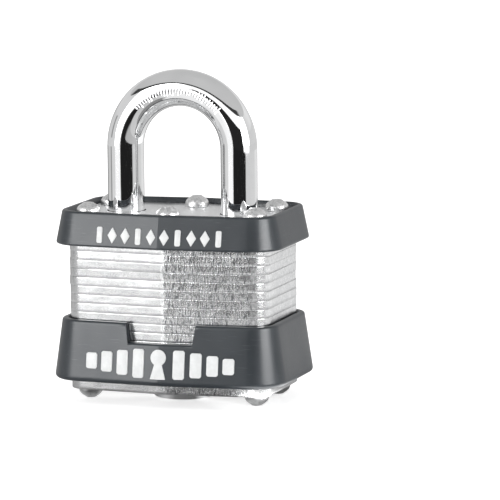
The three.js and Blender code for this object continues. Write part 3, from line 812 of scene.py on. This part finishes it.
class Bumper:
    """A sleeve round the plates: its sloping face, its edges' rounding, and its rib inside."""

    def __init__(self, node, hold_plate, proud_high, low_round, top_round, notch=0.0):
        self.node = node
        self.low, self.high = low(node).z, high(node).z
        self.proud_low = high(node).x - SIDE
        self.proud_high = proud_high
        self.rib_low = low(hold_plate).z + SEAT_GAP
        self.rib_high = high(hold_plate).z - SEAT_GAP
        self.low_round, self.top_round = low_round, top_round
        self.notch = notch
        self.lip = 0.4 * MM                 # the lead-in round the inside of the top edge

    def proud(self, z):
        share = (z - self.low) / (self.high - self.low)
        return self.proud_low + share * (self.proud_high - self.proud_low)

    def tilt(self):
        return math.atan((self.proud_low - self.proud_high) / (self.high - self.low))

    def top(self, x, y):
        """The height of the top edge, which drops into the notch at the front and back."""
        if not self.notch or abs(y) < RIDGE * 0.8:
            return self.high
        share = (NOTCH_HALF_HIGH - abs(x)) / (NOTCH_HALF_HIGH - NOTCH_HALF_LOW)
        share = max(0.0, min(1.0, share))
        eased = share * share * (3 - 2 * share)
        return self.high - self.notch * (0.75 * share + 0.25 * eased)

    def section(self, top):
        """The section's (grow, height) pairs, from the inside of the lower edge round and back."""
        r, t = self.low_round, self.top_round
        pairs = [(SEAT_GAP, self.low)]
        for a in range(0, 91, 15):
            turn = math.radians(a)
            z = self.low + r * (1 - math.cos(turn))
            pairs.append((self.proud(z) - r * (1 - math.sin(turn)), z))
        foot, brow = self.low + r, top - t
        for share in (0.02, 0.25, 0.5, 0.75, 0.9, 0.97):
            z = foot + share * (brow - foot)
            pairs.append((self.proud(z), z))
        for a in range(0, 91, 15):
            turn = math.radians(a)
            z = top - t * (1 - math.sin(turn))
            pairs.append((self.proud(z) - t * (1 - math.cos(turn)), z))
        pairs += [(SEAT_GAP + self.lip, top), (SEAT_GAP + 0.25 * self.lip, top - 1.6 * self.lip)]
        pairs += [(SEAT_GAP, top - 2.6 * self.lip), (SEAT_GAP, self.rib_high)]
        rib = SEAT_GAP - INSET
        return pairs + [(rib, self.rib_high), (rib, self.rib_low), (SEAT_GAP, self.rib_low)]

    def solid(self, name, plan):
        verts, faces = [], []
        for p, w in plan:
            for grow, z in self.section(self.top(p.x, p.y)):
                q = p + grow * w
                verts.append((q.x, q.y, z))
        rows, cols = len(plan), len(verts) // len(plan)
        for i in range(rows):
            for j in range(cols):
                a, b = i * cols, (i + 1) % rows * cols
                k = (j + 1) % cols
                faces.append((a + j, b + j, b + k, a + k))
        obj = piece(name, verts, faces, [PLASTIC], None, 50, ridge=True)
        belongs(obj, "case", [self.node])

    def on_face(self, across, up, out):
        """A point on the front: across from the ridge, up from the sleeve's lower edge, and out."""
        side = 1 if across >= 0 else -1
        along = Vector((side * math.cos(SLOPE), math.sin(SLOPE), 0))
        normal = Vector((side * math.sin(SLOPE), -math.cos(SLOPE), 0))
        tilt = self.tilt()
        z = self.low + up
        base = Vector((0, -RIDGE - self.proud(z) / math.cos(SLOPE), z))
        lean = math.cos(tilt) * normal + Vector((0, 0, math.sin(tilt)))
        return base + abs(across) * along + out * lean


def notch_facet():
    """Points along a facet, closer together over the notch's slanting wall."""
    reach = SIDE - CORNER_R + CORNER_R * math.sin(SLOPE)
    wall = NOTCH_HALF_HIGH - NOTCH_HALF_LOW
    places = [NOTCH_HALF_LOW * i / 5 for i in range(5)]
    places += [NOTCH_HALF_LOW + wall * i / 16 for i in range(17)]
    places += [NOTCH_HALF_HIGH + (reach - NOTCH_HALF_HIGH) * i / 8 for i in range(1, 8)]
    return [p / reach for p in places]


lower = Bumper("lower_bumper", "cylinder_plate_3", 1.55 * MM, 0.9 * MM, 0.4 * MM, NOTCH_DEPTH)
upper = Bumper("upper_bumper", "shackle_plate_2", 1.3 * MM, 0.45 * MM, 0.4 * MM)
lower.solid("lower_bumper_sleeve", case_plan(notch_facet(), 14))
upper.solid("upper_bumper_sleeve", case_plan([i / 12 for i in range(12)], 14))


# ---- raised marks on the bumpers


MARK_PROUD = 0.22 * MM
MARK_THICK = 0.5 * MM
MARK_ROUND = 0.09 * MM


def flat_mark(name, shape):
    """A flat raised mark with softened edges, from its outline in (across, up)."""
    return soften(prism(name, shape, -MARK_THICK, 0), MARK_ROUND)


def cut_bar(half_wide, half_high, corner):
    """An upright bar with cut corners."""
    w, h = half_wide, half_high
    near, level = w - corner, h - corner
    below = [(-w, -level), (-near, -h), (near, -h), (w, -level)]
    return below + [(w, level), (near, h), (-near, h), (-w, level)]


def keyhole(size):
    """A keyhole's outline: a round head and a flared skirt."""
    head = arc(0, 0.22 * size, 0.27 * size, -60, 240, 24)
    return head + [(-0.27 * size, -0.5 * size), (0.27 * size, -0.5 * size)]


def lay_on(bumper, obj):
    """Bends a flat mark over the sleeve's front, partly buried in it."""
    bm = bmesh.new()
    bm.from_mesh(obj.data)
    bmesh.ops.bisect_plane(
        bm, geom=bm.verts[:] + bm.edges[:] + bm.faces[:], plane_co=(0, 0, 0), plane_no=(1, 0, 0))
    for v in bm.verts:
        v.co = bumper.on_face(v.co.x, v.co.y, v.co.z + MARK_PROUD)
    bm.to_mesh(obj.data)
    bm.free()
    tidy(obj.data, 30, ridge=True)
    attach(obj, "case")


def row_of_marks(bumper, name, shape, places, seed):
    """Copies of one flat mark laid on a bumper's front."""
    values = {"Shape": shape, "Seed": seed, "Finish": PAINT}
    lay_on(bumper, grown(name, SCATTER_TREE, values, dots(name, places)))
    bpy.data.objects.remove(shape)


def marks():
    # Upper bumper: a row of upright bars, with two diamonds between each pair.
    level, pitch = 2.35 * MM, 2.62 * MM
    tall, wide = 1.5 * MM, 0.95 * MM
    bar = flat_mark("bar_shape", cut_bar(0.55 * MM, tall, 0.2 * MM))
    gem = flat_mark("gem_shape", [(0, -tall), (wide, 0), (0, tall), (-wide, 0)])
    spots = [(i - 4.5) * pitch for i in range(10)]
    for name, shape, places in (
        ("upper_bar_marks", bar, spots[0::3]),
        ("upper_gem_marks", gem, [x for i, x in enumerate(spots) if i % 3]),
    ):
        row_of_marks(upper, name, shape, [(x, level) for x in places], 2)
    # Lower bumper: a keyhole with bars on both sides that grow shorter outwards.
    middle = 4.2 * MM
    hole = flat_mark("lower_keyhole_mark", keyhole(5.6 * MM))
    hole.data.materials.append(PAINT)
    hole.data.transform(Matrix.Translation((0, middle, 0)))
    lay_on(lower, hole)
    for i, (reach, tall) in enumerate(((4.0, 5.4), (7.3, 4.6), (10.5, 3.8), (13.6, 3.0))):
        shape = flat_mark("slat_shape", cut_bar(1.12 * MM, tall / 2 * MM, 0.3 * MM))
        places = [(s * reach * MM, middle) for s in (-1, 1)]
        row_of_marks(lower, f"lower_slat_marks_{i + 1}", shape, places, 4)


marks()


# ---- shackle


def box_cutter(x0, x1, z0, z1):
    wide = 3 * ROD_R
    return prism("cutter", rectangle(x0, -wide, x1, wide), z0, z1)


def stamped_ticks():
    """Cutters for the row of short marks that is stamped round the front of the bow."""
    lean, depth = math.radians(-4), 0.30 * MM
    reach = LEG_X + ROD_R * math.sin(lean)
    front = -(ROD_R * math.cos(lean) - depth)
    path = [(x, front, z) for x, z in arc(0, BOW_Z, reach, 136, 42, 60)]
    tall, long, thick = 1.2 * MM, 0.95 * MM, 0.15 * MM
    tick = prism("tick_shape", rectangle(0, -long, tall, long), -thick, thick)
    values = {"Shape": tick, "Count": 32, "Least size": 0.35, "Seed": 8, "Finish": WIRE}
    ticks = grown("stamped_ticks", PATH_TREE, values, polyline("stamped_ticks", path))
    bpy.data.objects.remove(tick)
    return ticks


def shackle():
    toe_end = LEVER_LOW - 1.3 * MM
    notch_low, notch_high = LEVER_LOW - 0.15 * MM, LEVER_HIGH + 0.15 * MM
    lift = 12 * MM
    inner = LEG_X - ROD_R
    toe_bite, heel_bite, flat, groove_r = 2.04 * MM, 2.79 * MM, 0.95 * MM, 2.6 * MM
    path = [(-LEG_X, 0, HEEL_END + i * (BOW_Z - HEEL_END) / 24) for i in range(24)]
    path += [(x, 0, z) for x, z in arc(0, BOW_Z, LEG_X, 180, 0, 72)]
    path += [(LEG_X, 0, BOW_Z + i * (toe_end - BOW_Z) / 16) for i in range(1, 17)]
    values = {"Radius": ROD_R, "Sides": 64, "Finish": CHROME}
    rod = grown("shackle_rod", ROD_TREE, values, polyline("shackle_rod", path))
    # The groove and the flat under the heel's notch let the raised shackle turn.
    groove_low, groove_high = notch_low - lift, notch_high - lift
    groove = turned("cutter", [
        (groove_r, groove_low), (3 * ROD_R, groove_low), (3 * ROD_R, groove_high), (groove_r, groove_high),
    ], 64)
    carve(
        rod,
        box_cutter(inner - MM, inner + toe_bite, notch_low, notch_high),
        box_cutter(-inner - heel_bite, MM - inner, notch_low, notch_high),
        box_cutter(-inner - flat, MM - inner, groove_low, notch_high),
        box_cutter(-inner - heel_bite, MM - inner, groove_low, groove_high),
        move(groove, x=-LEG_X),
        stamped_ticks(),
    )
    tidy(rod.data, 30)
    belongs(rod, "shackle", ["shackle"])


shackle()


# ---- the works inside

PLUG_R = 4.6 * MM
PLUG_GAP = 0.08 * MM
CHAMBER_R = 1.35 * MM
PINS = range(1, 5)
KEYWAY = [                              # in mm
    (-2.9, -0.75), (-0.9, -0.75), (-0.6, -0.35), (2.2, -0.35), (2.2, 0.6),
    (0.5, 0.6), (0.2, 0.95), (-1.5, 0.95), (-1.8, 0.3), (-2.9, 0.3),
]


def fit(obj, body, node):
    tidy(obj.data)
    belongs(obj, body, [node])


def round_pin(name, radius, start, end, z, finishes=(), point=0.0, chamfer=0.12 * MM):
    """A turned pin along X, with a chamfer at its outer end and a cone or a chamfer at its inner end."""
    length = end - start
    inner = [(radius * 0.45, 0), (radius, point)] if point else [(radius - chamfer, 0), (radius, chamfer)]
    profile = [(0, 0), *inner, (radius, length - chamfer), (radius - chamfer, length), (0, length)]
    pin = turned(name, profile, 24, finishes)
    return move(pin, x=start, z=z, turn=(0, math.pi / 2, 0))


def pin_level(i):
    return (low(f"key_pin_{i}").z + high(f"key_pin_{i}").z) / 2


def chambers(start, end):
    return [round_pin("cutter", CHAMBER_R, start, end, pin_level(i), chamfer=0.02 * MM) for i in PINS]


def plug():
    """The brass plug: nose, body, keyway, pin chambers, and the slot for the cam's tongue."""
    nose, nose_r, edge = low("plug").z, 3.3 * MM, 0.22 * MM
    base, end = CYLINDER_LOW + SEAT_GAP, CYLINDER_HIGH - SEAT_GAP
    obj = turned("plug_body", [
        (0, nose), (nose_r - edge, nose), (nose_r, nose + edge), (nose_r, base), (PLUG_R - edge, base),
        (PLUG_R, base + edge), (PLUG_R, end - edge), (PLUG_R - edge, end), (0, end),
    ], 64, [BRASS])
    tongue_low, slot_half = low("cam").z - SEAT_GAP, 0.8 * MM
    slot = rectangle(-6 * MM, -slot_half, 6 * MM, slot_half)
    start = min(low(f"key_pin_{i}").x for i in PINS) - SEAT_GAP
    carve(
        obj,
        prism("cutter", in_mm(KEYWAY), nose - MM, tongue_low - 1.8 * MM),
        prism("cutter", slot, tongue_low, end + MM),
        *chambers(start, PLUG_R + MM),
    )
    fit(obj, "plug", "plug")


def cylinder_shell():
    node, end = "cylinder_shell", high("cylinder_shell").x
    obj = prism("shell_body", cylinder_outline(end), low(node).z, high(node).z, [ZINC])
    soften(obj, 0.2 * MM)
    bore = prism("cutter", circle(0, 0, PLUG_R + PLUG_GAP, 64), low(node).z - MM, high(node).z + MM)
    carve(obj, bore, *chambers(PLUG_R / 2, end + MM))
    fit(obj, "case", node)


def pin_cover():
    near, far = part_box("pin_chamber_cover")
    outline = rectangle(near.x, near.y, far.x, far.y)
    obj = soften(prism("cover_strip", outline, near.z, far.z, [BRASS]), 0.1 * MM)
    fit(obj, "case", "pin_chamber_cover")


def pins():
    """The key pins, pointed towards the key, and the flat-ended driver pins."""
    radius = 1.25 * MM
    for i in PINS:
        for kind, body, point in (("key", "plug", 0.6 * radius), ("driver", "case", 0.0)):
            node = f"{kind}_pin_{i}"
            start, end = low(node).x, high(node).x
            obj = round_pin(node + "_turned", radius, start, end, pin_level(i), [BRASS], point)
            fit(obj, body, node)


def cam():
    """The cam: a disc, its tongue in the plug, and two crank pins that reach into the levers' slots."""
    disc_r, crank_r, pin_r, edge = 3.1 * MM, 1.3 * MM, 0.8 * MM, 0.2 * MM
    disc_low, disc_high = CYLINDER_HIGH + SEAT_GAP, LEVER_LOW - SEAT_GAP
    obj = turned("cam_body", [
        (0, disc_low), (disc_r - edge, disc_low), (disc_r, disc_low + edge), (disc_r, disc_high - edge),
        (disc_r - edge, disc_high), (0, disc_high),
    ], 48, [ZINC])
    long, half = 0.9 * disc_r, 0.7 * MM
    tongue = prism("tongue", rectangle(-long, -half, long, half), low("cam").z, disc_low + MM, [ZINC])
    extras = [soften(tongue, 0.12 * MM)]
    for degrees in (135, 315):
        turn, top = math.radians(degrees), high("cam").z
        pin = turned("crank_pin", [
            (0, disc_high - MM), (pin_r, disc_high - MM), (pin_r, top - edge), (pin_r - edge, top),
            (0, top),
        ], 24, [ZINC])
        extras.append(move(pin, x=crank_r * math.cos(turn), y=crank_r * math.sin(turn)))
    fuse(obj, *extras)
    fit(obj, "plug", "cam")


def lever(node, turn):
    """A lever, drawn in mm: a tail, a slot for a crank pin, and a nose to the right, by its leg."""
    tip = max(abs(low(node).x), abs(high(node).x)) / MM
    slot_left, slot_right, slot_top = -2.02, 0.18, 2.4
    outline = [
        (-2.6, 0.15), (slot_left, 0.15), (slot_left, slot_top), (slot_right, slot_top), (slot_right, 0.15),
        (3.2, 0.15), (3.2, -1.9), (tip, -1.9), (tip, 1.9), (6.4, 1.9), (6.4, 4.9), (-2.6, 4.9),
    ]
    obj = prism(node + "_blank", in_mm(outline), low(node).z, high(node).z, [LEVER])
    move(soften(obj, 0.18 * MM, 3), turn=(0, 0, turn))
    fit(obj, node, node)


def coil(name, node, turns, coil_r, wire_r, length, turn, seat):
    """A spring that fills its node's length, from its seat along the way that it is turned."""
    values = {
        "Turns": turns, "Coil radius": coil_r, "Wire radius": wire_r, "Length": length - 2 * wire_r,
        "Steps a turn": 24, "Turn": turn, "Seat": seat, "Finish": WIRE,
    }
    obj = grown(name, COIL_TREE, values)
    tidy(obj.data, 60)
    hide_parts(node)
    return obj


def springs():
    for i in PINS:
        node, wire_r = f"pin_spring_{i}", 0.17 * MM
        near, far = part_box(node)
        seat = (near.x + wire_r, 0, pin_level(i))
        length = far.x - near.x
        obj = coil(node + "_coil", node, 5.0, 0.98 * MM, wire_r, length, (0, math.pi / 2, 0), seat)
        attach(obj, "case")
    near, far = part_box("shackle_spring")
    seat = (-LEG_X, 0, near.z + 0.45 * MM)
    length = far.z - near.z
    obj = coil("shackle_spring_coil", "shackle_spring", 5.5, 2.7 * MM, 0.45 * MM, length, (0, 0, 0), seat)
    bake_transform(obj)
    level, wire_r = (LEVER_LOW + LEVER_HIGH) / 2, 0.16 * MM
    for side, name in ((-1, "toe_lever"), (1, "heel_lever")):
        node = name + "_spring"
        near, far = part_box(node)
        far_end, near_end = (near.x, far.x) if side < 0 else (far.x, near.x)
        y = -side * 3.6 * MM
        seat = (far_end - side * wire_r, y, level)
        length = far.x - near.x
        obj = coil(node + "_coil", node, 5.0, 0.75 * MM, wire_r, length, (0, -side * math.pi / 2, 0), seat)
        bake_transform(obj)


plug()
cylinder_shell()
pin_cover()
pins()
cam()
lever("toe_lever", 0)
lever("heel_lever", math.pi)
springs()


# ---- floor, light and camera


def floor():
    mesh = bpy.data.meshes.new("floor")
    reach = 4.0
    corners = [(-reach, -reach, 0), (reach, -reach, 0), (reach, reach, 0), (-reach, reach, 0)]
    mesh.from_pydata(corners, [], [(0, 1, 2, 3)])
    f = Finish("pale_floor", Base_Color=grey(0.80), Emission_Color=grey(1.0), Emission_Strength=0.6)
    cloud = f.grain(0.4, 2)
    f.use(Roughness=f.spread(cloud, 0.3, 0.7, 0.6, 0.75))
    # From below, the floor isn't there, so that the lock's underside can be seen.
    behind = f.node("ShaderNodeNewGeometry").outputs["Backfacing"]
    clear = f.node("ShaderNodeBsdfTransparent").outputs[0]
    mix = f.node("ShaderNodeMixShader", Fac=behind)
    f.feed(mix.inputs[1], f.shader.outputs[0])
    f.feed(mix.inputs[2], clear)
    f.feed(f.tree.nodes["Material Output"].inputs[0], mix.outputs[0])
    mesh.materials.append(f.material)
    stand("floor", mesh)


def glow(name, bands, strength):
    """A reflector's light, by its bearing round the lock: 0 in front, and positive to the right."""
    f = Finish(name)
    f.tree.nodes.remove(f.shader)
    across, back, _ = f.node("ShaderNodeSeparateXYZ", Vector=f.place).outputs
    bearing = f.math("ARCTAN2", across, f.math("MULTIPLY", back, -1.0))
    ramp = f.node("ShaderNodeValToRGB", Fac=f.spread(bearing, -math.pi, math.pi))
    elements = ramp.color_ramp.elements
    stops = [((degrees + 180) / 360, grey(value)) for degrees, value in bands]
    for element, (position, colour) in zip((elements[0], elements[1]), (stops[0], stops[-1])):
        element.position, element.color = position, colour
    for position, colour in stops[1:-1]:
        elements.new(position).color = colour
    light = f.node("ShaderNodeEmission", Color=ramp.outputs[0], Strength=strength)
    f.feed(f.tree.nodes["Material Output"].inputs[0], light.outputs[0])
    return f.material


TENT_R = 0.45                     # of the wall that the reflector panels stand in


def only_in_reflections(obj):
    obj.visible_camera = False
    obj.visible_diffuse = False
    obj.visible_shadow = False
    obj.visible_transmission = False
    obj.visible_volume_scatter = False


def tent_panel(name, profile, bands, top):
    """One turned part of the tent, with its light by bearing as (degrees, brightness) pairs."""
    stops = [(a, v / top) for a, v in bands]
    obj = turned(name, profile, 48, [glow(name + "_light", stops, top)], closed=False)
    only_in_reflections(obj)


def around(*heights):
    """Points up the tent's curved wall, from their heights in degrees."""
    return [(TENT_R * math.cos(math.radians(a)), TENT_R * math.sin(math.radians(a))) for a in heights]


def light_tent():
    """Reflector panels round the lock that only its gloss sees: bright left, dark front right."""
    # Up from the floor: a sill, the wall's foot and the wall, a thin dark rail, and the roof.
    sill = [
        (-180, 0.55), (-165, 0.45), (-128, 0.50), (-120, 0.70), (-54, 0.75), (-50, 5.0), (-19, 5.0),
        (-15, 0.02), (48, 0.02), (52, 1.5), (84, 1.5), (90, 0.70), (168, 0.70), (180, 0.58),
    ]
    foot = [
        (-180, 0.55), (-165, 0.45), (-128, 0.50), (-120, 0.70), (-90, 0.70), (-87, 0.3), (-80, 0.3),
        (-77, 0.75), (-54, 0.75), (-50, 7.8), (-19, 7.8), (-15, 0.02), (48, 0.02), (52, 14.0), (84, 14.0),
        (90, 0.72), (168, 0.75), (180, 0.58),
    ]
    wall = [
        (-180, 0.75), (-54, 0.75), (-50, 4.0), (-19, 4.0), (-15, 1.3), (60, 1.3), (64, 3.5),
        (86, 3.5), (92, 0.75), (140, 0.9), (180, 0.75),
    ]
    rail = [(-180, 0.6), (-90, 0.6), (-80, 0.05), (70, 0.05), (80, 0.6), (180, 0.6)]
    roof = [(-180, 0.58), (0, 0.62), (180, 0.58)]
    # Outwards along the floor, from under the lock: each part of it mirrors a ring of its own.
    shade = [
        (-180, 0.35), (-90, 0.35), (-72, 1.00), (-56, 0.10), (-20, 0.45), (0, 0.15), (40, 0.10),
        (62, 0.95), (78, 0.15), (180, 0.35),
    ]
    under = [
        (-180, 0.4), (-120, 0.4), (-54, 0.5), (-20, 0.55), (-15, 0.05), (30, 0.05), (36, 5.0), (84, 5.0),
        (110, 0.5), (180, 0.4),
    ]
    skirt = [
        (-180, 0.40), (-120, 0.40), (-54, 0.60), (-50, 0.95), (-22, 0.95), (-15, 0.26), (60, 0.34),
        (90, 0.50), (168, 0.60), (180, 0.40),
    ]
    close = [
        (-180, 0.60), (-125, 0.60), (-118, 0.80), (-54, 0.80), (-50, 1.00), (-19, 1.00), (-12, 0.62),
        (62, 0.70), (80, 0.80), (168, 0.80), (180, 0.60),
    ]
    near = [
        (-180, 0.45), (-168, 0.25), (-128, 0.26), (-120, 0.62), (-54, 0.75), (-50, 1.05), (-19, 1.05),
        (-15, 0.015), (6, 0.015), (14, 0.50), (90, 0.60), (100, 1.35), (145, 1.35), (158, 0.88),
        (168, 0.84), (180, 0.45),
    ]
    far = [
        (-180, 0.45), (-168, 0.25), (-128, 0.26), (-120, 0.62), (-90, 0.66), (-87, 0.30), (-80, 0.30),
        (-77, 0.75), (-54, 0.75), (-50, 1.10), (-19, 1.10), (-15, 0.015), (60, 0.015), (63, 0.70),
        (125, 0.74), (140, 0.86), (168, 0.84), (180, 0.45),
    ]
    for name, heights, bands, top in (
        ("sill", (0, 5), sill, 11.0), ("foot", (5, 10, 14, 18.5), foot, 14.0),
        ("wall", (18.5, 25, 30, 34), wall, 4.0), ("rail", (34, 41), rail, 1.0),
        ("roof", (41, 50, 60, 70, 80, 90), roof, 1.0),
    ):
        tent_panel(f"tent_{name}", around(*heights), bands, top)
    level, inner = 0.05 * MM, 0.0
    for name, outer, bands, top in (
        ("shade", 23 * MM, shade, 1.0), ("under", 33 * MM, under, 5.0), ("skirt", 58 * MM, skirt, 1.0),
        ("close", 112 * MM, close, 1.2), ("near", 230 * MM, near, 1.4), ("far", TENT_R, far, 1.2),
    ):
        tent_panel(f"tent_ground_{name}", [(inner, level), (outer, level)], bands, top)
        inner = outer


def studio():
    world = bpy.data.worlds.new("studio")
    world.use_nodes = True
    world.node_tree.nodes["Background"].inputs[0].default_value = (1, 1, 1, 1)
    world.node_tree.nodes["Background"].inputs[1].default_value = 1.0
    bpy.context.scene.world = world
    bpy.context.scene.view_settings.view_transform = "Standard"


def camera():
    """Looks at the case from the right of its front and a little above."""
    target = Vector((0, 0, 30 * MM))
    bearing, rise, roll = math.radians(18.66), math.radians(8.22), math.radians(-0.54)
    away = 750 * MM
    back = Vector((math.sin(bearing) * math.cos(rise), -math.cos(bearing) * math.cos(rise), math.sin(rise)))
    right = Vector((math.cos(bearing), math.sin(bearing), 0))
    up = back.cross(right)
    across = math.cos(roll) * right + math.sin(roll) * up
    upright = math.cos(roll) * up - math.sin(roll) * right
    shift_right, shift_down = 12.67 * MM, 2.04 * MM
    centre = target + shift_right * across - shift_down * upright
    data = bpy.data.cameras.new("camera")
    data.lens = 285.1
    data.sensor_width = 36
    data.clip_start, data.clip_end = 0.01, 20
    obj = bpy.data.objects.new("camera", data)
    turn = Matrix((across, upright, back)).transposed().to_4x4()
    obj.matrix_world = Matrix.Translation(centre + away * back) @ turn
    bpy.context.scene.collection.objects.link(obj)
    bpy.context.scene.camera = obj


floor()
light_tent()
studio()
camera()
